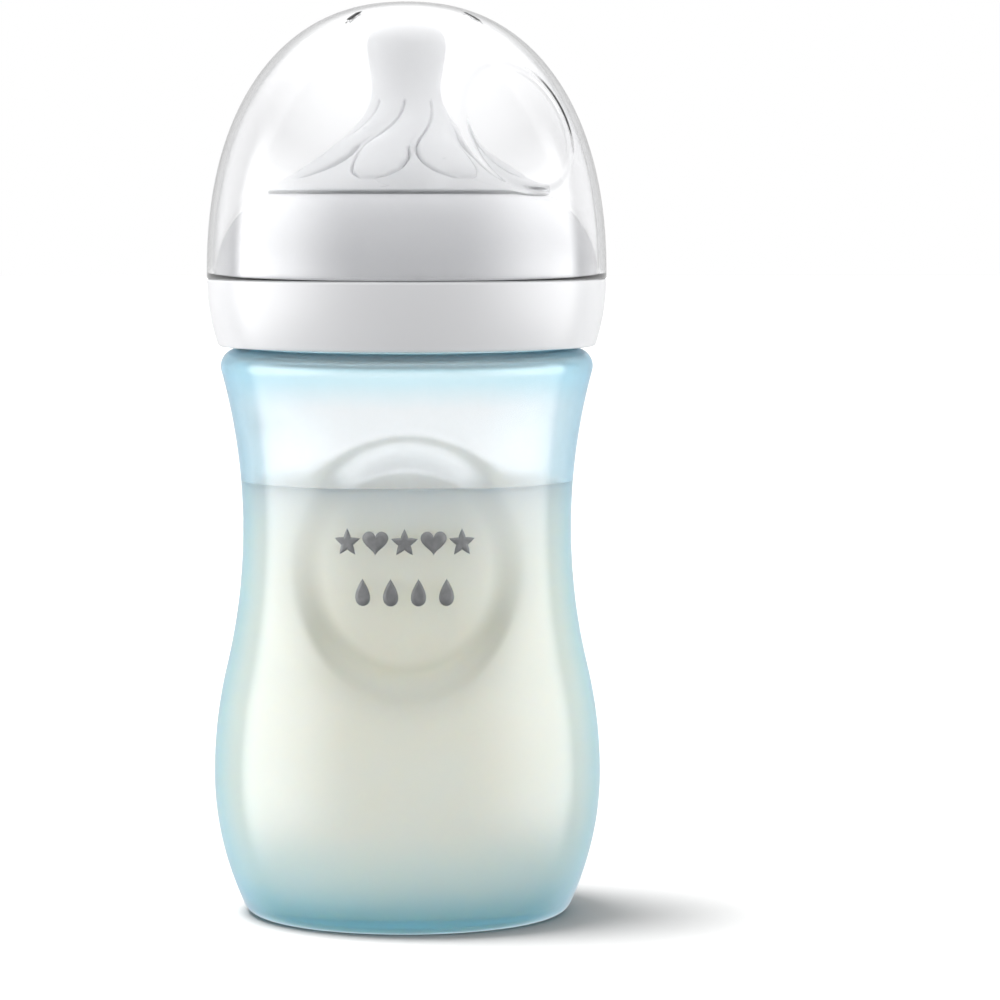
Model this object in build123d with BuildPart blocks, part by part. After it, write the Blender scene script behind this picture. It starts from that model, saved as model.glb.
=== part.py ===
"""Wide-neck baby bottle: bottle, teat, screw ring, dome cap and the milk inside.

Millimetres. The origin is on the bottle's axis, at the level that the foot stands on. +Z is up, and the
front, with the round panel, faces -Y.
"""

from build123d import *
from math import cos, hypot, radians, sin
import os

# Bottle: the neck sets its girth, and each other radius is a step from the one before it
neck_radius = 29.0
shoulder_step = 4.6
waist_step = 0.7
bulge_swell = 5.3
foot_tuck = 8.0
wall = 1.8

# Bottle: heights above the table
bulge_height = 25.5
waist_height = 70.0
shoulder_height = 99.1
neck_height = 18.7
push_up = 1.6
milk_level = 77.7

# Bottle: small shapes
foot_corner = 3.0
foot_land = 2.0
shoulder_corner = 3.2
rim_round = 0.5
waist_share = 0.565

# Round panel pressed in at the front
panel_width_share = 0.69
panel_half_height = 22.7
panel_drop = 5.4
panel_depth = 0.45
panel_lean = 1.8

# Thread, right-handed, one start
thread_pitch = 5.0
thread_base = 2.4
thread_crest = 1.2
thread_depth = 1.3
thread_root = 0.3
neck_turns = 2.2
ring_turns = 1.2
thread_start = 4.3

# Screw ring
ring_seat_drop = 8.2
ring_band_tuck = 2.0
ring_wall = 2.0
ring_grip = 5.2
lip_height = 15.4
collar_width = 3.75
ring_foot_round = 0.7

# Teat
flange_thickness = 2.0
teat_wall = 1.6
root_wall = 1.85
bead_reach = 0.35
bead_height = 0.4
cone_height = 6.0
flare_height = 11.7
stem_height = 18.8
head_height = 26.6
teat_height = 32.3
cone_step = 9.9
flare_radius = 9.0
stem_radius = 6.2
head_radius = 7.06
flow_hole_radius = 0.4

# Dome cap
cap_wall = 1.2
cap_power = 2.27
cap_disc_radius = 12.6
cap_disc_depth = 0.45
cap_disc_turn = 42.0
cap_disc_rise = 27.6
vent_length = 4.6
vent_width = 2.0
vent_distance = 14.6
vent_turns = (-39.0, 53.0)

# Clearances
ring_foot_gap = 0.4
thread_crest_gap = 0.5
thread_drop = 2.2
opening_gap = 0.3
flange_gap = 1.2
bead_gap = 0.3
cap_gap = 0.3
tip_gap = 0.7
milk_gap = 0.1

# Worked out from the sizes above
waist_radius = neck_radius + waist_step
bulge_radius = waist_radius + bulge_swell
shoulder_radius = neck_radius + shoulder_step
foot_radius = bulge_radius - foot_tuck
shoulder_top = shoulder_height + shoulder_corner
rim_height = shoulder_top + neck_height
panel_half_width = waist_radius * panel_width_share
ring_bore = neck_radius + thread_depth + thread_crest_gap
ring_radius = ring_bore + ring_grip
ring_foot = shoulder_top + ring_foot_gap
seat_height = rim_height + flange_thickness
seam_height = seat_height - ring_seat_drop
dome_root = ring_radius - cap_wall - cap_gap
lip_level = seam_height + lip_height
opening_radius = neck_radius - collar_width
root_radius = opening_radius - opening_gap
teat_tip = lip_level + teat_height
cap_height = teat_tip + tip_gap + cap_wall - seam_height


def tangent_arc_radius(run, rise, corner):
    """Radius of the arc that starts upright, and after run sideways and rise upwards meets the centre line of
    a corner of that radius, so that the two are tangent."""
    return (run**2 + rise**2 - corner**2) / (2 * (run - corner))


def towards(start, end, distance):
    """The point at that distance from start on the way to end."""
    share = distance / hypot(end[0] - start[0], end[1] - start[1])
    return (start[0] + (end[0] - start[0]) * share, start[1] + (end[1] - start[1]) * share)


def draw_bottle_half(inset, top):
    """Draws half of the bottle's outline, moved in by inset, from the middle of the base to the level top.

    The side is four arcs that are tangent to each other and to the foot's and the shoulder's corners.
    """
    foot_arc = tangent_arc_radius(foot_tuck, bulge_height - foot_corner, foot_corner)
    both_arcs = (bulge_swell**2 + (waist_height - bulge_height) ** 2) / (2 * bulge_swell)
    waist_arc = both_arcs * waist_share
    bulge_arc = both_arcs - waist_arc
    corner_run = shoulder_radius - shoulder_corner - waist_radius
    rise = shoulder_height - waist_height
    neck_arc = (corner_run**2 + rise**2 - shoulder_corner**2) / (2 * (shoulder_corner + corner_run))

    foot_centre = (foot_radius, foot_corner)
    low_centre = (bulge_radius - foot_arc, bulge_height)
    bulge_centre = (bulge_radius - bulge_arc, bulge_height)
    waist_centre = (waist_radius + waist_arc, waist_height)
    high_centre = (waist_radius + neck_arc, waist_height)
    shoulder_centre = (shoulder_radius - shoulder_corner, shoulder_height)

    above_foot = towards(low_centre, foot_centre, foot_arc - inset)
    bulge = (bulge_radius - inset, bulge_height)
    turn_over = towards(bulge_centre, waist_centre, bulge_arc - inset)
    waist = (waist_radius - inset, waist_height)
    below_shoulder = towards(high_centre, shoulder_centre, neck_arc + inset)
    shoulder_end = (shoulder_centre[0], shoulder_top - inset)
    neck_foot = (neck_radius - inset, shoulder_top - inset)
    land = (foot_radius - foot_land, inset)

    base = TangentArc((0, push_up + inset), land, tangent=(1, 0))
    Line(land, (foot_radius, inset))
    TangentArc((foot_radius, inset), above_foot, tangent=(1, 0))
    TangentArc(bulge, above_foot, tangent=(0, -1))
    bulge_side = TangentArc(bulge, turn_over, tangent=(0, 1))
    TangentArc(turn_over, waist, tangent=bulge_side % 1)
    neck_side = TangentArc(waist, below_shoulder, tangent=(0, 1))
    TangentArc(below_shoulder, shoulder_end, tangent=neck_side % 1)
    Polyline(shoulder_end, neck_foot, (neck_radius - inset, top), (0, top), base @ 0)


def panel_tool(inset):
    """What the front panel takes off a bottle solid that is moved in by inset."""
    panel_height = waist_height - panel_drop
    panel_top = panel_height + panel_half_height
    panel_bottom = panel_height - panel_half_height
    face_radius = waist_radius - panel_depth - inset
    with BuildPart() as tool:
        with BuildSketch(Plane.XZ):
            with Locations((0, panel_height)):
                Ellipse(panel_half_width + inset, panel_half_height + inset)
        extrude(amount=bulge_radius + wall)
        with BuildSketch(Plane.XZ):
            with BuildLine():
                upright = Line((face_radius, panel_top + 2 * wall), (face_radius, waist_height))
                lean = TangentArc(
                    upright @ 1, (face_radius + panel_lean, panel_bottom - wall), tangent=(0, -1)
                )
                Polyline(lean @ 1, (0, panel_bottom - wall), (0, panel_top + 2 * wall), upright @ 0)
            make_face()
        revolve(axis=Axis.Z, mode=Mode.SUBTRACT)
    return tool.part


def bottle_solid(inset, top):
    """The bottle without its hollow, moved in by inset and cut off level at the height top."""
    with BuildPart() as solid:
        with BuildSketch(Plane.XZ):
            with BuildLine():
                draw_bottle_half(inset, top)
            make_face()
        revolve(axis=Axis.Z)
        add(panel_tool(inset), mode=Mode.SUBTRACT)
    return solid.part


def thread_ridge(radius, start, turns, outward):
    """A helical ridge on a wall of that radius; outward is 1 on a neck and -1 in a bore."""
    with BuildPart() as ridge:
        with BuildLine():
            path = Helix(thread_pitch, turns * thread_pitch, radius, center=(0, 0, start))
        with BuildSketch(Plane(origin=path @ 0, x_dir=(outward, 0, 0), z_dir=path % 0)):
            Polygon(
                (-thread_root, -thread_base / 2),
                (thread_depth, -thread_crest / 2),
                (thread_depth, thread_crest / 2),
                (-thread_root, thread_base / 2),
                align=None,
            )
        sweep(path=path, is_frenet=True)
    return ridge.part


# Bottle, with its hollow open at the neck's rim
with BuildPart() as bottle_body:
    add(bottle_solid(0, rim_height))
    fillet(bottle_body.faces().sort_by(Axis.Z)[-1].edges(), rim_round)
    add(bottle_solid(wall, rim_height), mode=Mode.SUBTRACT)
    add(thread_ridge(neck_radius, shoulder_top + thread_start, neck_turns, 1))
bottle_body.part.label = "bottle_body"

# Milk, which fills the hollow up to its level
with BuildPart() as milk:
    add(bottle_solid(wall + milk_gap, rim_height))
    split(bisect_by=Plane.XY.offset(milk_level), keep=Keep.BOTTOM)
milk.part.label = "milk"


def teat_points(inset):
    """Points and directions down the teat's side, from its tip, moved in by inset."""
    outline = (
        ((0, teat_height), (1, 0)),
        ((head_radius, head_height), (0, -1)),
        ((stem_radius, stem_height), (0, -1)),
        ((flare_radius, flare_height), (0.64, -0.77)),
        ((opening_radius - cone_step, cone_height), (0.83, -0.56)),
        ((opening_radius + bead_reach, bead_gap + bead_height), (0.86, -0.51)),
    )
    return [
        ((point[0] + way[1] * inset, lip_level + point[1] - way[0] * inset), way)
        for point, way in outline
    ]


# Teat: flange under the ring, root through the ring's opening, and the hollow cone, stem and head above it
with BuildPart() as teat:
    with BuildSketch(Plane.XZ):
        with BuildLine():
            side = teat_points(0)
            cone = Spline([p for p, way in side], tangents=[way for p, way in side])
            bead = (root_radius, lip_level + bead_gap)
            Polyline(
                cone @ 1,
                (opening_radius + bead_reach, lip_level + bead_gap),
                bead,
                (root_radius, seat_height),
                (ring_bore - flange_gap, seat_height),
                (ring_bore - flange_gap, rim_height),
                (0, rim_height),
                cone @ 0,
            )
        make_face()
    revolve(axis=Axis.Z)
    with BuildSketch(Plane.XZ):
        with BuildLine():
            side = teat_points(teat_wall)
            cone = Spline([p for p, way in side], tangents=[way for p, way in side])
            Polyline(
                cone @ 1,
                (root_radius - root_wall, (cone @ 1).Z - teat_wall),
                (root_radius - root_wall, rim_height),
                (0, rim_height),
                cone @ 0,
            )
        make_face()
    revolve(axis=Axis.Z, mode=Mode.SUBTRACT)
    with Locations((0, 0, teat_tip)):
        Hole(flow_hole_radius, depth=2 * teat_wall)
teat.part.label = "teat"


# Screw ring: a band that tucks in towards its foot, a ledge for the cap, and a dome up to the opening
with BuildPart() as screw_ring:
    with BuildSketch(Plane.XZ):
        with BuildLine():
            opening_run = dome_root - opening_radius
            dome_arc = (opening_run**2 + lip_height**2) / (2 * opening_run)
            dome_centre = (dome_root - dome_arc, seam_height)
            seat_inner = ring_bore - ring_wall
            inner_arc = dome_arc - ring_wall
            seat_end = seam_height + (inner_arc**2 - (seat_inner - dome_centre[0]) ** 2) ** 0.5
            lip_under = seam_height + (inner_arc**2 - (opening_radius - dome_centre[0]) ** 2) ** 0.5
            band_foot = (ring_radius - ring_band_tuck, ring_foot)
            TangentArc((ring_radius, seam_height), band_foot, tangent=(0, -1))
            Polyline((ring_radius, seam_height), (dome_root, seam_height))
            TangentArc((dome_root, seam_height), (opening_radius, lip_level), tangent=(0, 1))
            Line((opening_radius, lip_level), (opening_radius, lip_under))
            ThreePointArc(
                (opening_radius, lip_under),
                towards(dome_centre, (opening_radius + 1, lip_under), inner_arc),
                (seat_inner, seat_end),
            )
            Polyline(
                (seat_inner, seat_end),
                (seat_inner, seat_height),
                (ring_bore, seat_height),
                (ring_bore, ring_foot),
                band_foot,
            )
        make_face()
    revolve(axis=Axis.Z)
    foot_edges = screw_ring.edges().filter_by(GeomType.CIRCLE).group_by(Axis.Z)[0]
    fillet(foot_edges.sort_by(SortBy.RADIUS)[-1], ring_foot_round)
    add(thread_ridge(ring_bore, shoulder_top + thread_start + thread_pitch - thread_drop, ring_turns, -1))
screw_ring.part.label = "screw_ring"


def dome_half(radius, height):
    """Points on a quarter of a superellipse, from the rim up to the axis."""
    angles = [radians(a) for a in (10, 22, 34, 46, 58, 70, 81)]
    between = [
        (radius * cos(a) ** (2 / cap_power), seam_height + height * sin(a) ** (2 / cap_power))
        for a in angles
    ]
    return [(radius, seam_height), *between, (0, seam_height + height)]


def dome_solid(inset):
    """The cap without its hollow, moved in by inset."""
    with BuildPart() as solid:
        with BuildSketch(Plane.XZ):
            with BuildLine():
                half = Spline(
                    dome_half(ring_radius - inset, cap_height - inset), tangents=[(0, 1), (-1, 0)]
                )
                Polyline(half @ 1, (0, seam_height), half @ 0)
            make_face()
        revolve(axis=Axis.Z)
    return solid.part


# Dome cap: an even shell with a shallow round panel on its side and two vents near its top
with BuildPart() as cap_disc:
    side_way = Vector(0, -1, 0.43).rotate(Axis.Z, cap_disc_turn)
    across = Vector(1, 0, 0).rotate(Axis.Z, cap_disc_turn)
    with BuildSketch(Plane(origin=(0, 0, seam_height + cap_disc_rise / 2), x_dir=across, z_dir=side_way)):
        Circle(cap_disc_radius)
    extrude(amount=2 * ring_radius)
    add(dome_solid(cap_disc_depth), mode=Mode.SUBTRACT)

with BuildPart() as dome_cap:
    add(dome_solid(0))
    add(dome_solid(cap_wall), mode=Mode.SUBTRACT)
    add(cap_disc.part, mode=Mode.SUBTRACT)
    for turn in vent_turns:
        vent_place = Vector(0, -vent_distance, teat_tip).rotate(Axis.Z, turn)
        with BuildSketch(Plane(origin=vent_place, x_dir=Vector(0, 1, 0).rotate(Axis.Z, turn))):
            SlotOverall(vent_length, vent_width)
        extrude(amount=-3 * cap_wall, both=True, mode=Mode.SUBTRACT)
dome_cap.part.label = "dome_cap"

os.makedirs("parts", exist_ok=True)
export_step(bottle_body.part, "parts/bottle_body.step")
export_step(milk.part, "parts/milk.step")
export_step(teat.part, "parts/teat.step")
export_step(screw_ring.part, "parts/screw_ring.step")
export_step(dome_cap.part, "parts/dome_cap.step")
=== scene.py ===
"""A baby bottle, standing filled and capped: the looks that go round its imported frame, in metres."""

from math import cos, pi, radians, sin

import bpy
import numpy as np
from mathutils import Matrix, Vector


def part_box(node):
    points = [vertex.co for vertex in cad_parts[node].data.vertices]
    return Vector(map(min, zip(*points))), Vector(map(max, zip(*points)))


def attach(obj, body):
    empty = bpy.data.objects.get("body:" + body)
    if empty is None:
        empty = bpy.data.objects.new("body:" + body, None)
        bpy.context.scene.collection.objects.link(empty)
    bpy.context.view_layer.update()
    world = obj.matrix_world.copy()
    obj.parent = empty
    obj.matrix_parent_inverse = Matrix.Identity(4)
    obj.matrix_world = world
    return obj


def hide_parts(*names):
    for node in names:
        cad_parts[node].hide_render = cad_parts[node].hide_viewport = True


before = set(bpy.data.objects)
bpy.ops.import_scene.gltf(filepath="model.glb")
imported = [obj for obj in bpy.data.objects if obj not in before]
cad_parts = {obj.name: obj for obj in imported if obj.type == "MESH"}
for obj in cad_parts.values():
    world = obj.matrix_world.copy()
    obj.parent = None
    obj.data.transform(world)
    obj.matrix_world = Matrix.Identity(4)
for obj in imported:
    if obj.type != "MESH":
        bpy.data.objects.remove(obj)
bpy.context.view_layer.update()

# ---- Bottle ----------------------------------------------------------------------------------------------
# The bottle is light blue, see-through polypropylene, blown in one piece: a foot with a slight push-up, a
# bulge, a waist, a rounded shoulder and a threaded neck. A round panel is pressed in at the front, where
# a hand holds it.
mm = 0.001
bottle_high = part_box("bottle_body")[1]
bulge_radius = bottle_high.x
neck_rim = bottle_high.z
bulge_height = 25.5 * mm
waist_radius = bulge_radius - 5.3 * mm
waist_height = 70.0 * mm
neck_radius = waist_radius - 0.7 * mm
shoulder_radius = neck_radius + 4.6 * mm
shoulder_corner = 3.2 * mm
shoulder_top = neck_rim - 18.7 * mm
shoulder_height = shoulder_top - shoulder_corner
thread_start = shoulder_top + 4.3 * mm
waist_share = 0.565
wall = 1.8 * mm
thread_pitch = 5.0 * mm
thread_depth = 1.3 * mm
foot = {"radius": bulge_radius - 8.0 * mm, "floor": 0.0, "corner": 3.0 * mm, "push_up": 1.6 * mm}
hollow_foot = {"radius": bulge_radius - 13.0 * mm, "floor": 3.2 * mm, "corner": 7.0 * mm, "push_up": 1.2 * mm}


def arc(centre, start, end, count):
    """Points from start to end on the circle round centre, the short way: centre + radius * (cos, sin) of
    evenly spaced angles. The end point is left out, so that the next stretch can start with it."""
    centre, start, end = np.array(centre), np.array(start), np.array(end)
    first = np.arctan2(*(start - centre)[::-1])
    turn = (np.arctan2(*(end - centre)[::-1]) - first + pi) % (2 * pi) - pi
    angles = first + turn * np.arange(count) / count
    return centre + np.hypot(*(start - centre)) * np.stack([np.cos(angles), np.sin(angles)], 1)


def towards(start, end, distance):
    """The point at that distance from start, on the way to end."""
    start, end = np.array(start), np.array(end)
    return start + (end - start) * distance / np.hypot(*(end - start))


def straight(start, end, count):
    """Points from start towards end, evenly spaced, without the end point."""
    share = (np.arange(count) / count)[:, None]
    return np.array(start) * (1 - share) + np.array(end) * share


def bottle_outline(inset, base):
    """Radius and height down the middle of the skin from the base's centre to the neck's foot. The side
    is four arcs that meet in line: foot to bulge, bulge to turn-over, turn-over to waist, waist to
    shoulder."""
    bulge, waist = bulge_radius - inset, waist_radius - inset
    run, rise = bulge - base["radius"], bulge_height - base["floor"] - base["corner"]
    foot_arc = (run**2 + rise**2 - base["corner"] ** 2) / (2 * (run - base["corner"]))
    swell, gap = bulge_radius - waist_radius, waist_height - bulge_height
    both_arcs = (swell**2 + gap**2) / (2 * swell)
    waist_arc = both_arcs * waist_share
    corner_run = shoulder_radius - shoulder_corner - waist_radius
    above = shoulder_height - waist_height
    neck_arc = (corner_run**2 + above**2 - shoulder_corner**2) / (2 * (shoulder_corner + corner_run))

    corner_centre = (base["radius"], base["floor"] + base["corner"])
    low_centre = (bulge - foot_arc, bulge_height)
    bulge_centre = (bulge_radius - both_arcs + waist_arc, bulge_height)
    waist_centre = (waist_radius + waist_arc, waist_height)
    high_centre = (waist_radius + neck_arc, waist_height)
    shoulder_centre = (shoulder_radius - shoulder_corner, shoulder_height)

    above_foot = towards(low_centre, corner_centre, foot_arc)
    turn_over = towards(bulge_centre, waist_centre, both_arcs - waist_arc - inset)
    below_shoulder = towards(high_centre, shoulder_centre, neck_arc + inset)
    land = base["radius"] - 2 * mm
    rows = np.linspace(0, 1, 14)[:-1]
    dome = np.stack([land * rows, base["floor"] + base["push_up"] * np.cos(rows * pi / 2) ** 2], 1)
    return np.concatenate(
        [
            dome,
            straight((land, base["floor"]), (base["radius"], base["floor"]), 3),
            arc(corner_centre, (base["radius"], base["floor"]), above_foot, 10),
            arc(low_centre, above_foot, (bulge, bulge_height), 24),
            arc(bulge_centre, (bulge, bulge_height), turn_over, 26),
            arc(waist_centre, turn_over, (waist, waist_height), 46),
            arc(high_centre, (waist, waist_height), below_shoulder, 42),
            arc(shoulder_centre, below_shoulder, (shoulder_centre[0], shoulder_top - inset), 12),
            straight(
                (shoulder_centre[0], shoulder_top - inset), (neck_radius - inset, shoulder_top - inset), 3
            ),
        ]
    )


def front_angles(front_count, back_count, half=radians(58)):
    """Angles round the axis, 0 at the front and a quarter turn at +X, closer together over the front
    panel."""
    front = np.linspace(-half, half, front_count, endpoint=False)
    back = np.linspace(half, 2 * pi - half, back_count, endpoint=False)
    return np.concatenate([front, back])


def around(radius, height, angle):
    """Points at those radii, heights and angles from the front: x = r sin, y = -r cos."""
    return np.stack(np.broadcast_arrays(radius * np.sin(angle), -radius * np.cos(angle), height), -1)


panel = {"height": waist_height - 5.4 * mm, "half_width": 20.7 * mm, "half_height": 22.9 * mm}
panel_depth = 0.45 * mm
panel_lean = 1.8 * mm
panel_flat = 0.74
panel_thickening = 0.9


def with_panel(radius, height, angle, inset):
    """The radius with the front panel pressed in. Inside an ellipse the skin sinks to an upright barrel
    that leans out below the waist; the share that it sinks rises from 0 at the ellipse to 1 at its flat
    part. The ellipse is wider on the inside, so the wall is thicker round the panel's edge."""
    across = radius * np.sin(angle) / (panel["half_width"] + panel_thickening * inset)
    along = (height - panel["height"]) / (panel["half_height"] + panel_thickening * inset)
    reach = np.where(np.cos(angle) > 0, np.hypot(across, along), 2)
    share = np.clip((1 - reach) / (1 - panel_flat), 0, 1)
    lean = np.clip((waist_height - height) / (32.6 * mm), 0, 1.2)
    face = waist_radius - panel_depth - inset + panel_lean * lean**2
    return radius + share * share * (3 - 2 * share) * (np.minimum(radius, face) - radius)


def thread(height, angle, start, turns):
    """Height of a helical ridge over the wall that carries it, from 0 to 1. The distance to the nearest
    turn of the helix gives a flat crest and sloping flanks, and both ends run out over a small share of a
    turn."""
    pitch, base, crest, run_out = thread_pitch, 2.4 * mm, 1.2 * mm, 0.07
    share = ((angle - pi / 2) % (2 * pi)) / (2 * pi)
    turn = np.clip(np.round((height - start) / pitch - share), 0, np.ceil(turns))
    distance = np.abs(height - start - (turn + share) * pitch)
    ends = np.clip(np.minimum(turn + share, turns - turn - share) / run_out, 0, 1)
    return np.clip((base / 2 - distance) / ((base - crest) / 2), 0, 1) * ends


def turned(name, points, poles):
    """A mesh from rows of points that each run round the axis. poles says whether the first and the last
    row are one point on the axis; a surface with no poles closes on itself, last row to first. Faces
    point outwards."""
    rows, columns = points.shape[:2]
    index = np.arange(rows * columns).reshape(rows, columns)
    if poles:
        index[0], index[-1] = index[0, 0], index[-1, 0]
    else:
        index = np.concatenate([index, index[:1]])
    here, round_ = index, np.roll(index, -1, axis=1)
    quads = np.stack([here[:-1], round_[:-1], round_[1:], here[1:]], -1).reshape(-1, 4)
    corners = points.reshape(-1, 3)
    a, b, c, d = (corners[quads[:, k]] for k in range(4))
    volume = np.sum(a * np.cross(b, c)) + np.sum(a * np.cross(c, d))
    if volume < 0:
        quads = quads[:, ::-1]
    used, compact = np.unique(quads, return_inverse=True)
    quads = compact.reshape(-1, 4)
    faces = [tuple(dict.fromkeys(face)) for face in quads.tolist()]
    mesh = bpy.data.meshes.new(name)
    mesh.from_pydata(corners[used].tolist(), [], faces)
    mesh.polygons.foreach_set("use_smooth", np.ones(len(mesh.polygons), bool))
    mesh.update()
    piece = bpy.data.objects.new(name, mesh)
    bpy.context.scene.collection.objects.link(piece)
    return piece


class Varying:
    """A socket whose value varies over a surface. Arithmetic on it adds Math nodes to its finish."""

    def __init__(self, finish, socket):
        self.finish, self.socket = finish, socket

    def math(self, operation, *others):
        """A Math node with this value first. Any others follow it."""
        return self.finish.node("Math", {"operation": operation}, dict(enumerate((self, *others))))

    def __add__(self, other):
        return self.math("ADD", other)

    def __sub__(self, other):
        return self.math("SUBTRACT", other)

    def __rsub__(self, other):
        return self.finish.node("Math", {"operation": "SUBTRACT"}, {0: other, 1: self})

    def __mul__(self, other):
        return self.math("MULTIPLY", other)

    def __truediv__(self, other):
        return self.math("DIVIDE", other)

    def __pow__(self, other):
        return self.math("POWER", other)

    __radd__, __rmul__ = __add__, __mul__


class Finish:
    """A procedural material. node adds any node with its settings first and then its inputs, and gives
    back one of its outputs; surface and volume join a shader to the material's output."""

    def __init__(self, name):
        self.material = bpy.data.materials.new(name)
        self.material.use_nodes = True
        self.tree = self.material.node_tree
        self.tree.nodes.clear()
        self.end = self.tree.nodes.new("ShaderNodeOutputMaterial")
        self.place = self.node("TexCoord", output="Object")

    def node(self, kind, settings=None, inputs=None, output=0):
        node = self.tree.nodes.new("ShaderNode" + kind)
        for key, value in (settings or {}).items():
            if key == "stops":
                for extra in value[2:]:
                    node.color_ramp.elements.new(extra[0])
                for element, (position, colour) in zip(node.color_ramp.elements, value):
                    element.position, element.color = position, (*colour, 1)
            else:
                setattr(node, key, value)
        for key, value in (inputs or {}).items():
            if isinstance(value, Varying):
                self.tree.links.new(value.socket, node.inputs[key])
            else:
                node.inputs[key].default_value = value
        return Varying(self, node.outputs[output])

    def noise(self, scale, detail=2.0):
        return self.node("TexNoise", {}, {"Vector": self.place, "Scale": scale, "Detail": detail})

    def along(self, axis):
        return self.node("SeparateXYZ", {}, {0: self.place}, axis)

    def step(self, value, start, end):
        """A smooth step from 0 at start to 1 at end."""
        settings = {"interpolation_type": "SMOOTHSTEP"}
        if start < end:
            return self.node("MapRange", settings, {0: value, 1: start, 2: end, 3: 0.0, 4: 1.0})
        return self.node("MapRange", settings, {0: value, 1: end, 2: start, 3: 1.0, 4: 0.0})

    def ramp(self, value, stops):
        return self.node("ValToRGB", {"stops": stops}, {0: value})

    def tinted(self, colour, tint):
        """The product of two varying colours."""
        settings = {"data_type": "RGBA", "blend_type": "MULTIPLY"}
        return self.node("Mix", settings, {0: 1.0, 6: colour, 7: tint}, 2)

    def bump(self, height, distance, strength=1.0):
        return self.node("Bump", {}, {"Height": height, "Distance": distance, "Strength": strength})

    def principled(self, **inputs):
        named = {key.replace("_", " "): value for key, value in inputs.items()}
        shader = self.node("BsdfPrincipled", {}, named)
        self.tree.links.new(shader.socket, self.end.inputs["Surface"])
        return shader

    def volume(self, shader):
        self.tree.links.new(shader.socket, self.end.inputs["Volume"])

    def put_on(self, piece):
        piece.data.materials.clear()
        piece.data.materials.append(self.material)


def bottle_points():
    """The bottle's whole skin: outer outline, neck with its thread, rounded rim, and the hollow back
    down."""
    angle = front_angles(140, 60)[None, :]
    outer = bottle_outline(0, foot)
    inner = bottle_outline(wall, hollow_foot)[::-1]
    rim_round = 0.5 * mm
    neck = straight((neck_radius, shoulder_top), (neck_radius, neck_rim - rim_round), 72)
    bore = neck_radius - wall
    rim = np.concatenate(
        [
            arc((neck_radius - rim_round, neck_rim - rim_round), (neck_radius, neck_rim - rim_round),
                (neck_radius - rim_round, neck_rim), 4),
            arc((bore + rim_round, neck_rim - rim_round), (bore + rim_round, neck_rim),
                (bore, neck_rim - rim_round), 4),
            straight((bore, neck_rim - rim_round), (bore, shoulder_top - wall), 12),
        ]
    )
    skin = []
    for line, inset in ((outer, 0), (inner, wall)):
        radius, height = line[:, :1], line[:, 1:]
        skin.append(around(with_panel(radius, height, angle, inset), height, angle))
    ridge = thread(neck[:, 1:], angle, thread_start, 2.2) * thread_depth
    neck_rows = around(neck[:, :1] + ridge, neck[:, 1:], angle)
    rim_rows = around(rim[:, :1], rim[:, 1:], angle)
    return np.concatenate([skin[0], neck_rows, rim_rows, skin[1]])


bottle = turned("bottle_shell", bottle_points(), poles=True)
blue = Finish("blue_polypropylene")
haze = blue.noise(260, 3)
# Deeper blue where there is more plastic to look through: at the foot, at the shoulder's corner and where
# the wall is seen edge-on. The thick edge round the lower half of the panel is darkened with painted grey
# shade.
foot_tint, corner_tint, wall_tint = (0.34, 0.82, 1.0), (0.80, 0.955, 1.0), (0.985, 0.98, 0.98)
plain = (1, 1, 1)
height_tints = [
    (0.0, foot_tint),
    (0.022, foot_tint),
    (0.075, corner_tint),
    (0.16, wall_tint),
    (0.77, wall_tint),
    (0.81, corner_tint),
    # Painted light: this stop is lighter than the corner tint round it, to lift the shade under the ring
    (0.845, (0.84, 0.975, 1.0)),
    (0.87, corner_tint),
]
edge_tints = [
    (0.10, plain),
    (0.38, (0.92, 0.975, 1.0)),
    (0.58, (0.70, 0.91, 0.99)),
    (0.78, (0.27, 0.72, 0.97)),
    (1.0, (0.06, 0.49, 0.90)),
]
# Painted shade: grey stops that darken the thick rim round the panel
painted_panel_rim_shade_tints = [
    (0.35, plain),
    (0.42, (0.66, 0.665, 0.665)),
    (0.475, (0.62, 0.63, 0.63)),
    (0.51, (0.86, 0.865, 0.865)),
    (0.60, plain),
]
up_the_wall = blue.along("Z") / neck_rim + haze * 0.01
edge_on = blue.node("LayerWeight", {}, {"Blend": 0.5}, "Facing")
# Half the distance from the panel's middle, as a share of its half sizes, and over 1 behind the bottle
across_panel = blue.along("X") / panel["half_width"]
up_panel = (blue.along("Z") - panel["height"]) / panel["half_height"]
behind = blue.along("Y").math("GREATER_THAN", 0.0)
from_panel = (across_panel**2 + up_panel**2) ** 0.5 * 0.5 + behind
upper_half = blue.step(up_panel, -0.3, 0.8)
# Painted shade on the panel's rim: the grey ramp over the lower half, plain in the upper half
painted_panel_rim_shade = blue.node(
    "Mix",
    {"data_type": "RGBA"},
    {0: upper_half, 6: blue.ramp(from_panel, painted_panel_rim_shade_tints), 7: (*plain, 1)},
    2,
)
blue_colour = blue.tinted(blue.ramp(up_the_wall, height_tints), blue.ramp(edge_on, edge_tints))
blue.principled(
    Base_Color=blue.tinted(blue_colour, painted_panel_rim_shade),
    Roughness=haze * 0.05 + 0.15,
    IOR=1.49,
    Transmission_Weight=0.82,
    Sheen_Weight=0.25,
    Sheen_Roughness=0.55,
    Sheen_Tint=(0.80, 0.93, 1.0, 1),
    Normal=blue.bump(haze, 0.00004, 0.25),
)
blue.volume(blue.node("VolumeAbsorption", {}, {"Color": (0.10, 0.69, 0.94, 1), "Density": 16.0}))
blue.put_on(bottle)
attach(bottle, "bottle")
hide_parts("bottle_body")

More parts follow.
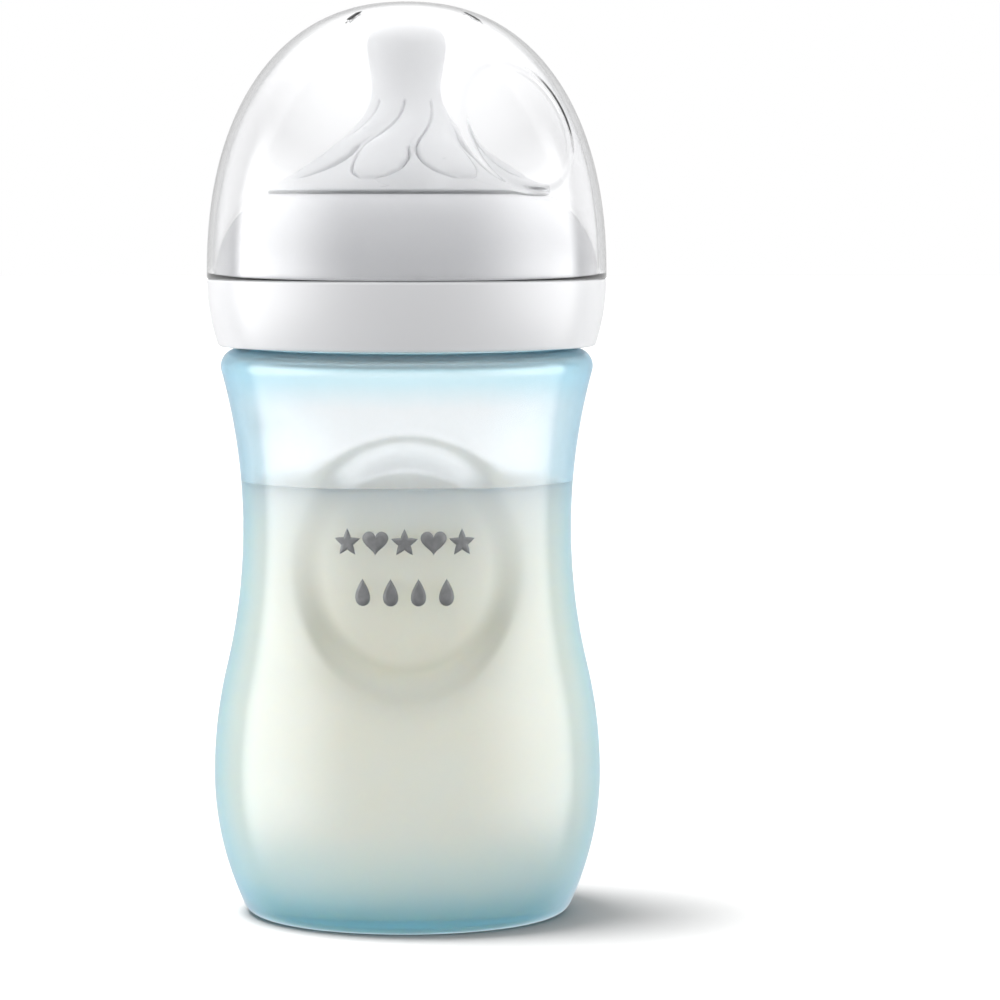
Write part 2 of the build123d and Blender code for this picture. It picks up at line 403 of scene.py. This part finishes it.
# ---- Print -----------------------------------------------------------------------------------------------
# Grey ink is pad printed on the outside: a plain pattern of stars, hearts and drops on the panel, and a
# scale in millilitres round the side. The ink is a film with a closed edge that follows the wall.
ink_height = 0.05 * mm
ink_sink = 0.02 * mm
rows_in_foot = 40
outside_line = bottle_outline(0, foot)
outside_line = outside_line[np.argsort(outside_line[:, 1], kind="stable")][rows_in_foot:]
inside_line = bottle_outline(wall, hollow_foot)


def on_wall(across, height, middle, lift):
    """Points on the wall: across is measured along it from the angle middle, and lift is outwards from
    it."""
    radius = np.interp(height, outside_line[:, 1], outside_line[:, 0])
    angle = middle + across / radius
    return around(with_panel(radius, height, angle, 0) + lift, height, angle)


def shape_outline(kind, angles):
    """A closed outline of unit half height round its centre: a star whose distance from the centre falls
    and rises along straight edges, a heart by the usual sums of cosines, or a drop, a circle drawn out to
    a point."""
    if kind == "star":
        tips, notch = 5, 0.46
        share = np.abs((angles * tips / (2 * pi)) % 1 - 0.5) * 2
        distance = 1.05 * notch / (notch + (1 - notch) * (1 - share))
        return distance * np.sin(angles), distance * np.cos(angles)
    if kind == "heart":
        x = 16 * np.sin(angles) ** 3
        z = 13 * np.cos(angles) - 5 * np.cos(2 * angles) - 2 * np.cos(3 * angles) - np.cos(4 * angles)
        return x / 15, (z + 2) / 15
    drop_width = 0.775
    return drop_width * np.sin(angles) * np.sin(angles / 2) ** 1.2, np.cos(angles)


def ink_shape(name, kind, across, height, half):
    """One printed shape: rows grow from its centre to its outline on the film's face and shrink back
    beneath."""
    angles = np.linspace(0, 2 * pi, 80, endpoint=False)
    x, z = shape_outline(kind, angles)
    steps = [(step, ink_height) for step in (0, 0.5, 1)] + [(step, -ink_sink) for step in (1, 0.5, 0)]
    rows = [on_wall(across + x * half * step, height + z * half * step, 0.0, lift) for step, lift in steps]
    return turned(name, np.stack(rows), poles=True)


def ink_line(length, width, across, height, middle):
    """A flat bar along the wall, as a closed strip: its four long edges in turn, with both ends drawn to
    a line."""
    run = np.linspace(-length / 2, length / 2, 16)
    edges = [(-1, ink_height), (1, ink_height), (1, -ink_sink), (-1, -ink_sink)]
    ends = np.ones(16)
    ends[[0, -1]] = 0
    rows = [
        on_wall(across + run, height + side * width / 2 * ends, middle, lift * ends) for side, lift in edges
    ]
    return np.stack(rows, 1)


ink = Finish("grey_ink")
coat = ink.noise(900, 3)
ink.principled(
    Base_Color=ink.ramp(coat, [(0.35, (0.19, 0.195, 0.2)), (0.65, (0.23, 0.235, 0.24))]),
    Roughness=coat * 0.15 + 0.42,
    IOR=1.49,
)
upper_row, lower_row, pattern_middle = 69.2, 60.6, -0.5
pattern = [
    ("star", -10.4, upper_row, 2.4),
    ("heart", -5.2, upper_row, 2.2),
    ("star", 0.0, upper_row, 2.4),
    ("heart", 5.2, upper_row, 2.2),
    ("star", 10.4, upper_row, 2.4),
]
pattern += [("drop", x, lower_row, 2.4) for x in (-7.6, -2.5, 2.5, 7.6)]
for number, (kind, x, z, half) in enumerate(pattern):
    shape = ink_shape(f"panel_{kind}_{number}", kind, (x + pattern_middle) * mm, z * mm, half * mm)
    ink.put_on(shape)
    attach(shape, "bottle")

# The hollow's volume up to each height: discs between the outline's points, added up
below = np.cumsum(np.pi * (inside_line[1:, 0] + inside_line[:-1, 0]) ** 2 / 4 * np.diff(inside_line[:, 1]))
scale_angle = radians(-112)
half_figure = 1.45 * mm
for millilitres in range(30, 241, 30):
    level = float(np.interp(millilitres * 1e-6, below, inside_line[1:, 1]))
    bar_points = ink_line(7.0 * mm, 0.5 * mm, -6.0 * mm, level, scale_angle)
    bar = turned(f"scale_bar_{millilitres}", bar_points, poles=True)
    words = bpy.data.curves.new(f"scale_number_{millilitres}", "FONT")
    words.body, words.size = str(millilitres), 4.2 * mm
    words.extrude = (ink_height + ink_sink) / 2
    words.resolution_u = 6
    sign = bpy.data.objects.new(words.name, words)
    bpy.context.scene.collection.objects.link(sign)
    bpy.context.view_layer.update()
    flat = bpy.data.meshes.new_from_object(sign.evaluated_get(bpy.context.evaluated_depsgraph_get()))
    bpy.data.objects.remove(sign)
    spots = np.empty(len(flat.vertices) * 3)
    flat.vertices.foreach_get("co", spots)
    spots = spots.reshape(-1, 3)
    film = spots[:, 2] + (ink_height - ink_sink) / 2
    placed = on_wall(spots[:, 0] - 1.0 * mm, spots[:, 1] + level - half_figure, scale_angle, film)
    flat.vertices.foreach_set("co", placed.ravel())
    flat.update()
    flat.name = words.name
    sign = bpy.data.objects.new(words.name, flat)
    bpy.context.scene.collection.objects.link(sign)
    for piece in (bar, sign):
        ink.put_on(piece)
        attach(piece, "bottle")

# ---- Milk ------------------------------------------------------------------------------------------------
# Formula milk fills the bottle to just above the waist. It wets the wall, so its edge creeps up a little,
# and it reaches a hair into the plastic, so that no air shows between the two.
milk_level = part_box("milk")[1].z


def milk_points():
    """The hollow's outline up to the milk's level, then its surface: level, and rising towards the wall
    as a falling exponential of the distance from it."""
    angle = front_angles(160, 90)[None, :]
    wetting, creep, reach = 0.12 * mm, 0.9 * mm, 1.4 * mm
    base = {**hollow_foot, "floor": hollow_foot["floor"] - wetting, "corner": hollow_foot["corner"] + wetting}
    side = bottle_outline(wall - wetting, base)
    side = side[side[:, 1] < milk_level]
    edge = np.interp(milk_level, side[-12:, 1], side[-12:, 0])
    side = np.concatenate([side, [[edge, milk_level + creep]]])
    radius, height = side[:, :1], side[:, 1:]
    rows = [around(with_panel(radius, height, angle, wall - wetting), height, angle)]
    brim = with_panel(np.array([[edge]]), milk_level, angle, wall - wetting)
    share = np.concatenate([1 - np.geomspace(0.006, 0.3, 14), np.linspace(0.62, 0, 8)])[:, None]
    top = milk_level + creep * np.exp(-(1 - share) * edge / reach)
    rows.append(around(brim * share, top, angle))
    return np.concatenate(rows)


milk = turned("milk_fill", milk_points(), poles=True)
cream = Finish("formula_milk")
mottle = cream.noise(55, 4)
cream_colour = cream.ramp(mottle, [(0.3, (0.94, 0.865, 0.74)), (0.7, (0.955, 0.885, 0.775))])
cream.principled(
    Base_Color=cream_colour,
    Roughness=mottle * 0.1 + 0.2,
    IOR=1.35,
    Subsurface_Weight=1.0,
    Subsurface_Radius=(0.032, 0.029, 0.024),
    Subsurface_Scale=1.0,
)
cream.put_on(milk)
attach(milk, "bottle")
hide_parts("milk")

# ---- Teat ------------------------------------------------------------------------------------------------
# The teat is soft, frosted silicone, moulded in one piece. Its flange is clamped between the neck and the
# ring, its root fills the ring's opening, and eight petals swirl up its cone so that it bends without
# closing.
tip_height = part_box("teat")[1].z
lip_level = tip_height - 32.3 * mm
opening_radius = neck_radius - 3.75 * mm
root_radius = opening_radius - 0.3 * mm
teat_wall = 1.6 * mm
flange_height = 2.0 * mm
petals = 8
teat_side = [
    ((0.0, 32.3), (1, 0)),
    ((7.06, 26.6), (0, -1)),
    ((6.2, 18.8), (0, -1)),
    ((9.0, 11.7), (0.64, -0.77)),
    ((15.35, 6.0), (0.83, -0.56)),
    ((25.6, 0.7), (0.86, -0.51)),
]


def teat_line(inset, count):
    """Cubic arcs through the points down the teat's side, moved in by inset, each as long a pull as its
    chord."""
    places = np.array([p for p, way in teat_side]) * mm
    ways = np.array([way for p, way in teat_side], float)
    ways /= np.hypot(*ways.T)[:, None]
    places = places + inset * np.stack([ways[:, 1], -ways[:, 0]], 1) + [0, lip_level]
    share = (np.arange(count) / count)[:, None]
    rows = []
    for a, b, way_a, way_b in zip(places, places[1:], ways, ways[1:]):
        pull = np.hypot(*(b - a))
        rows.append(
            a * (2 * share**3 - 3 * share**2 + 1)
            + b * (3 * share**2 - 2 * share**3)
            + way_a * pull * (share**3 - 2 * share**2 + share)
            + way_b * pull * (share**3 - share**2)
        )
    return np.concatenate(rows)


def smooth_through(x, knots, values):
    """A cubic through the knots: each stretch leaves and arrives with the slope between the knots beside
    it."""
    knots, values = np.array(knots, float), np.array(values, float)
    slopes = np.gradient(values, knots)
    slopes[[0, -1]] = 0
    x = np.clip(x, knots[0], knots[-1])
    left = np.clip(np.searchsorted(knots, x) - 1, 0, len(knots) - 2)
    run = knots[left + 1] - knots[left]
    share = (x - knots[left]) / run
    return (
        values[left] * (2 * share**3 - 3 * share**2 + 1)
        + values[left + 1] * (3 * share**2 - 2 * share**3)
        + slopes[left] * run * (share**3 - 2 * share**2 + share)
        + slopes[left + 1] * run * (share**3 - share**2)
    )


def petal_grid(up):
    """Angles round the teat for rows at those heights above its lip, in millimetres. The columns follow
    the two grooves of each petal, and lie closer together beside them: a long one that swirls from the
    stem round the petal's left side, and a short one round its right side. Gives the angles, how far each
    column is from the long groove and where the short groove is, as shares of the turn from one petal to
    the next."""
    long_groove = np.radians(smooth_through(
        up, [2.0, 2.7, 3.3, 4.6, 6.2, 7.8, 9.3, 11.1, 12.9, 14.7, 16.6],
        [-20, -23, -27, -32.3, -36.2, -37, -33.3, -23.5, -13, -5.5, -3.2]))
    width = smooth_through(
        up, [0.7, 2.0, 2.4, 2.8, 3.8, 5.1, 6.5, 8.2, 10.0], [14, 7, 7, 13, 24, 32.5, 38, 38.5, 38.5]) / 45
    petal_turns = 2 * pi / petals * np.arange(petals)
    bulb = (1 - np.cos(pi * np.arange(30) / 30)) / 2
    ridge = (1 - np.cos(pi * np.arange(16) / 16)) / 2
    share = np.concatenate([width * bulb, width + (1 - width) * ridge], 1)
    angle = long_groove + share * 2 * pi / petals
    angle = (angle[:, None, :] + petal_turns[:, None]).reshape(len(up), -1)
    return angle, np.tile(share, petals), width


def petal_lift(up, share, width, radius):
    """How far the skin stands off the plain cone. Each petal is a pillow, half an ellipse across and
    closing towards its foot, that fades upwards into a gentle swell. Both grooves are narrow bell curves
    of the distance from their lines, which run out at their ends."""
    bulb = np.sqrt(np.clip(1 - (2 * share / width - 1) ** 2, 0, 1)) * (share < width)
    closing = np.sqrt(np.clip(1 - ((6.4 - np.minimum(up, 6.4)) / 3.9) ** 2, 0, 1))
    swell = np.sin(pi * share**0.8) ** 2
    upper = smooth_through(up, [7.6, 11.0], [0, 1])
    fade = smooth_through(up, [9.0, 17.0], [1, 0])
    arc_length = 2 * pi / petals * radius
    from_long = np.minimum(share, 1 - share) * arc_length
    from_short = np.abs(share - width) * arc_length
    long_depth = smooth_through(
        up, [2.2, 3.0, 6.0, 9.0, 12.0, 15.0, 16.3, 16.8], [0, 0.3, 0.7, 0.65, 0.45, 0.42, 0.42, 0])
    short_depth = smooth_through(up, [2.4, 3.4, 5.5, 7.6, 8.5], [0.05, 0.25, 0.7, 0.65, 0])
    groove_width = 0.26 * mm
    grooves = long_depth * np.exp(-((from_long / groove_width) ** 2))
    grooves = grooves + short_depth * np.exp(-((from_short / groove_width) ** 2))
    return mm * (0.95 * bulb * closing * (1 - upper) + 0.5 * swell * upper * fade - grooves)


def teat_points():
    """The teat's outside from the flow hole down to its bead, root and flange, and its inside back up."""
    hole = 0.4 * mm
    outer = teat_line(0, 34)
    inner = teat_line(teat_wall, 12)[::-1]
    flange, seat = neck_radius + 0.6 * mm, neck_rim + flange_height
    bore = root_radius - 1.85 * mm
    bead = opening_radius + 0.35 * mm
    outer = outer[outer[:, 0] > hole]
    inner = inner[(inner[:, 0] > hole) & (inner[:, 0] < bore)]
    low = np.array(
        [
            (bead, lip_level + 0.7 * mm), (bead + 0.12 * mm, lip_level + 0.5 * mm),
            (bead, lip_level + 0.32 * mm), (root_radius, lip_level + 0.3 * mm),
            (root_radius, lip_level - 1 * mm), (root_radius, seat + 0.5 * mm), (root_radius + 0.5 * mm, seat),
            (flange - 0.4 * mm, seat), (flange, seat - 0.4 * mm), (flange, neck_rim + 0.4 * mm),
            (flange - 0.4 * mm, neck_rim), (bore + 0.4 * mm, neck_rim), (bore, neck_rim + 0.4 * mm),
            (bore, inner[0, 1] - 0.5 * mm),
        ]
    )
    radius, height = outer[:, :1], outer[:, 1:]
    slope = np.gradient(outer, axis=0)
    slope /= np.hypot(*slope.T)[:, None]
    up = (height - lip_level) / mm
    angle, share, width = petal_grid(up)
    lift = petal_lift(up, share, width, radius)
    outside = around(radius - slope[:, 1:] * lift, height + slope[:, :1] * lift, angle)
    rest = np.concatenate([low, inner])
    return np.concatenate([outside, around(rest[:, :1], rest[:, 1:], angle[-1:])])


teat = turned("teat_skin", teat_points(), poles=False)
silicone = Finish("frosted_silicone")
frost = silicone.noise(420, 3)
silicone.principled(
    Base_Color=(0.70, 0.705, 0.715, 1),
    Roughness=frost * 0.12 + 0.24,
    IOR=1.41,
    Subsurface_Weight=0.55,
    Subsurface_Radius=(0.0025, 0.0025, 0.0025),
    Subsurface_Scale=1.0,
    Normal=silicone.bump(frost, 0.00003, 0.5),
)
silicone.put_on(teat)
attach(teat, "teat")
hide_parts("teat")

# ---- Screw ring ------------------------------------------------------------------------------------------
# The screw ring is glossy white polypropylene, injection moulded. A smooth band for the fingers tucks in
# at its foot, a ledge carries the cap, and a dome rises to the round opening; the thread is inside.
ring_low, ring_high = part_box("screw_ring")
ring_radius, ring_foot = ring_high.x, ring_low.z
band_height = 12.1 * mm
band_tuck = 2.0 * mm
ring_wall = 2.0 * mm
ring_thread_start = thread_start + thread_pitch - 2.2 * mm
seam = ring_foot + band_height
dome_root = ring_radius - 1.5 * mm


def ring_points():
    """A closed outline: band arc, ledge, dome arc, rounded lip, underside, seat, threaded bore and foot."""
    angle = np.linspace(0, 2 * pi, 240, endpoint=False)[None, :]
    bore, round_ = neck_radius + 1.8 * mm, 0.45 * mm
    run, rise = dome_root - opening_radius, ring_high.z - seam
    dome_arc = (run**2 + rise**2) / (2 * run)
    dome_centre = np.array((dome_root - dome_arc, seam))
    lip = np.array((opening_radius, ring_high.z))
    band_arc = (band_tuck**2 + band_height**2) / (2 * band_tuck)
    band_centre = (ring_radius - band_arc, seam)
    band_foot = np.array((ring_radius - band_tuck, ring_foot))
    foot_round, edge_round, lip_drop = 0.7 * mm, 0.3 * mm, 0.24 * mm
    band_low = towards(band_centre, band_foot + (0, foot_round), band_arc)
    seat, seat_inner = neck_rim + flange_height, bore - ring_wall
    inner_arc = dome_arc - ring_wall
    seat_end = (seat_inner, seam + (inner_arc**2 - (seat_inner - dome_centre[0]) ** 2) ** 0.5)
    lip_under = (opening_radius, seam + (inner_arc**2 - (opening_radius - dome_centre[0]) ** 2) ** 0.5)
    wall_rows = np.concatenate(
        [
            arc(band_low - (foot_round, 0), band_foot - (foot_round, 0), band_low, 6),
            arc(band_centre, band_low, (ring_radius, seam - edge_round), 26),
            arc((ring_radius - edge_round, seam - edge_round), (ring_radius, seam - edge_round),
                (ring_radius - edge_round, seam), 4),
            straight((ring_radius - edge_round, seam), (dome_root, seam), 2),
            arc(dome_centre, (dome_root, seam), lip + (round_, -lip_drop), 54),
            arc(lip - (-round_, round_ + lip_drop), lip + (round_, -lip_drop),
                lip - (0, round_ + lip_drop), 6),
            straight(lip - (0, round_ + lip_drop), lip_under, 3),
            arc(dome_centre, lip_under, seat_end, 6),
            straight(seat_end, (seat_inner, seat), 2),
            straight((seat_inner, seat), (bore, seat), 2),
        ]
    )
    bore_rows = straight((bore, seat), (bore, ring_foot), 84)
    ridge = thread(bore_rows[:, 1:], angle, ring_thread_start, 1.2) * thread_depth
    ridge[:2] = 0
    foot_rows = straight((bore, ring_foot), band_foot - (foot_round, 0), 3)
    return np.concatenate(
        [
            around(wall_rows[:, :1], wall_rows[:, 1:], angle),
            around(bore_rows[:, :1] - ridge, bore_rows[:, 1:], angle),
            around(foot_rows[:, :1], foot_rows[:, 1:], angle),
        ]
    )


ring = turned("ring_band", ring_points(), poles=False)
white = Finish("white_polypropylene")
grain = white.noise(300, 3)
white.principled(
    Base_Color=(0.77, 0.775, 0.79, 1),
    Roughness=grain * 0.08 + 0.18,
    IOR=1.49,
    Subsurface_Weight=0.25,
    Subsurface_Radius=(0.0015, 0.0015, 0.0015),
    Subsurface_Scale=1.0,
    Normal=white.bump(grain, 0.00003, 0.4),
)
white.put_on(ring)
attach(ring, "ring")
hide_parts("screw_ring")

# ---- Dome cap --------------------------------------------------------------------------------------------
# The cap is a thin clear shell that snaps over the ring's dome and sits on its ledge. A shallow round
# panel is pressed in at one side, and two short vents are cut near its flattened top.
cap_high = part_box("dome_cap")[1]
cap_wall = 1.2 * mm
cap_power = 2.27
cap_clearance = 0.12 * mm


def cap_side(inset, count):
    """A quarter of a superellipse, from the axis down to the rim: powers of sine and cosine."""
    angles = np.linspace(pi / 2, 0, count)
    bend = 2 / cap_power
    radius = (cap_high.x - inset) * np.cos(angles).clip(0) ** bend
    foot_height = seam + cap_clearance
    height = foot_height + (cap_high.z - foot_height - inset) * np.sin(angles).clip(0) ** bend
    return np.stack([radius, height], 1)


def cap_points():
    """The cap's outside from the top to the rim and its inside back up. The panel presses both in, by a
    share that rises from 0 at a circle on the dome to 1 inside it."""
    turn, rise = radians(42), radians(23)
    angle = (front_angles(180, 100, radians(30)) + turn)[None, :]
    way = np.array([sin(turn) * cos(rise), -cos(turn) * cos(rise), sin(rise)])
    centre = np.array([sin(turn) * 31.0, -cos(turn) * 31.0, (seam / mm) + 27.6]) * mm
    rows = []
    for line in (cap_side(0, 190), cap_side(cap_wall, 130)[::-1]):
        points = around(line[:, :1], line[:, 1:], angle)
        offset = points - centre
        depth = offset @ way
        reach = np.sqrt((offset**2).sum(-1) - depth**2) / (12.9 * mm)
        share = np.clip((1 - reach) / 0.14, 0, 1) * (depth > -12 * mm)
        share = share * share * (3 - 2 * share)
        rows.append(points - way * (share * 0.25 * mm)[..., None])
    return np.concatenate(rows)


def cut(piece, cutter):
    """Takes the closed mesh cutter out of piece, and leaves the result as piece's own mesh."""
    tool = piece.modifiers.new("cut", "BOOLEAN")
    tool.operation, tool.solver, tool.object = "DIFFERENCE", "EXACT", cutter
    graph = bpy.context.evaluated_depsgraph_get()
    mesh = bpy.data.meshes.new_from_object(piece.evaluated_get(graph))
    piece.modifiers.clear()
    piece.data = mesh
    bpy.data.objects.remove(cutter)


def vent(turn):
    """An upright prism whose outline is a slot: two half circles joined by straight sides, along the
    dome."""
    length, width, distance = 3.4 * mm, 0.9 * mm, 14.6 * mm
    angles = np.linspace(0, 2 * pi, 40, endpoint=False)
    along = np.sin(angles) * width / 2 + np.sign(np.sin(angles)) * (length - width) / 2
    across = np.cos(angles) * width / 2
    x = (distance + along) * sin(turn) + across * cos(turn)
    y = -(distance + along) * cos(turn) + across * sin(turn)
    low, high = cap_high.z - 9 * mm, cap_high.z + 2 * mm
    rows = [np.stack([x * s + distance * sin(turn) * (1 - s), y * s - distance * cos(turn) * (1 - s),
                      np.full(40, z)], -1) for s, z in ((0, low), (1, low), (1, high), (0, high))]
    return turned("vent_cutter", np.stack(rows), poles=True)


cap = turned("cap_shell", cap_points(), poles=True)
for vent_turn in (-39, 53):
    cut(cap, vent(radians(vent_turn)))
clear = Finish("clear_polypropylene")
cloud = clear.noise(180, 3)
cap_edge_tints = [
    (0.15, (0.985, 0.985, 0.99)),
    (0.5, (0.93, 0.93, 0.935)),
    (0.8, (0.88, 0.88, 0.89)),
    (1.0, (0.45, 0.46, 0.48)),
]
cap_edge_on = clear.node("LayerWeight", {}, {"Blend": 0.5}, "Facing")
clear.principled(
    Base_Color=clear.ramp(cap_edge_on, cap_edge_tints),
    Roughness=cloud * 0.03 + 0.02,
    IOR=1.49,
    Transmission_Weight=1.0,
    Normal=clear.bump(cloud, 0.00002, 0.4),
)
clear.volume(clear.node("VolumeAbsorption", {}, {"Color": (0.6, 0.66, 0.7, 1), "Density": 20.0}))
clear.put_on(cap)
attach(cap, "cap")
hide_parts("dome_cap")

# ---- Floor, light and camera -----------------------------------------------------------------------------
# The bottle stands on a pale sheet between two wide soft boxes. The room is bright above, behind and
# below it and dim in front, so its sides are lighter than its middle. A lamp above its left side lights
# the sheet alone.
def floor_sheet(half):
    """A level square sheet round the bottle."""
    mesh = bpy.data.meshes.new("floor")
    corners = [(-half, -half, 0), (half, -half, 0), (half, half, 0), (-half, half, 0)]
    mesh.from_pydata(corners, [], [(0, 1, 2, 3)])
    piece = bpy.data.objects.new("floor", mesh)
    bpy.context.scene.collection.objects.link(piece)
    return piece


floor = floor_sheet(6.0)
sweep = Finish("pale_sweep")
speck = sweep.noise(3.0)
sweep.principled(Base_Color=(0.25, 0.25, 0.25, 1), Roughness=speck * 0.1 + 0.85)
sweep.put_on(floor)
floor.visible_diffuse = floor.visible_glossy = floor.visible_shadow = False

sun = bpy.data.lights.new("key", "SUN")
sun.energy, sun.angle = 14.0, radians(30)
key = bpy.data.objects.new("key", sun)
bpy.context.scene.collection.objects.link(key)
key_tilt = radians(15)
to_key = Vector((-sin(key_tilt), 0.05, cos(key_tilt)))
key.rotation_euler = to_key.to_track_quat("Z", "Y").to_euler()
lit_by_key = bpy.data.collections.new("lit_by_key")
lit_by_key.objects.link(floor)
key.light_linking.receiver_collection = lit_by_key


class Room(Finish):
    """The world's nodes, built with the same calls as a finish."""

    def __init__(self, name):
        self.world = bpy.data.worlds.new(name)
        bpy.context.scene.world = self.world
        self.world.use_nodes = True
        self.tree = self.world.node_tree
        self.tree.nodes.clear()
        self.end = self.tree.nodes.new("ShaderNodeOutputWorld")
        self.place = self.node("TexCoord", output="Generated")


room = Room("studio")
to_right = room.along("X")
to_back = room.along("Y")
to_top = room.along("Z")
side_angle = room.node("Math", {"operation": "ARCTAN2"}, {0: to_right.math("ABSOLUTE"), 1: 0 - to_back})
box_band = room.step(side_angle, radians(28), radians(88)) * room.step(side_angle, radians(120), radians(107))
box_band = box_band * room.step(to_top.math("ABSOLUTE"), 0.5, 0.15)
left_or_right = room.step(to_right, 0.01, -0.01)
boxes = box_band * (left_or_right * 0.9 + 3.6)
bright_back = room.step(to_back, 0.3, 0.75)
bright_top = room.step(to_top, 0.3, 0.95)
bright_floor = room.step(to_top, -0.1, -0.6)
dim_front = 0.1
lit = boxes + bright_back * 0.7 + bright_top * 2.5 + bright_floor * 0.45 + dim_front
# Rays that no surface has scattered see plain white
bounces = room.node("LightPath", output="Diffuse Depth") + room.node("LightPath", output="Glossy Depth")
unseen = room.node("MapRange", {}, {0: bounces, 1: 0.0, 2: 1.0, 3: 0.0, 4: 1.0})
strength = unseen * (lit - 1) + 1
background = room.node("Background", {}, {"Color": (1, 1, 1, 1), "Strength": strength})
room.tree.links.new(background.socket, room.end.inputs["Surface"])
bpy.context.scene.view_settings.view_transform = "Standard"

lens = bpy.data.cameras.new("camera")
lens.lens = 155.5
camera = bpy.data.objects.new("camera", lens)
bpy.context.scene.collection.objects.link(camera)
camera.location = (0, -0.78, 0.130)
target = Vector((0.0168, 0, 0.0747))
camera.rotation_euler = (target - camera.location).to_track_quat("-Z", "Y").to_euler()
bpy.context.scene.camera = camera
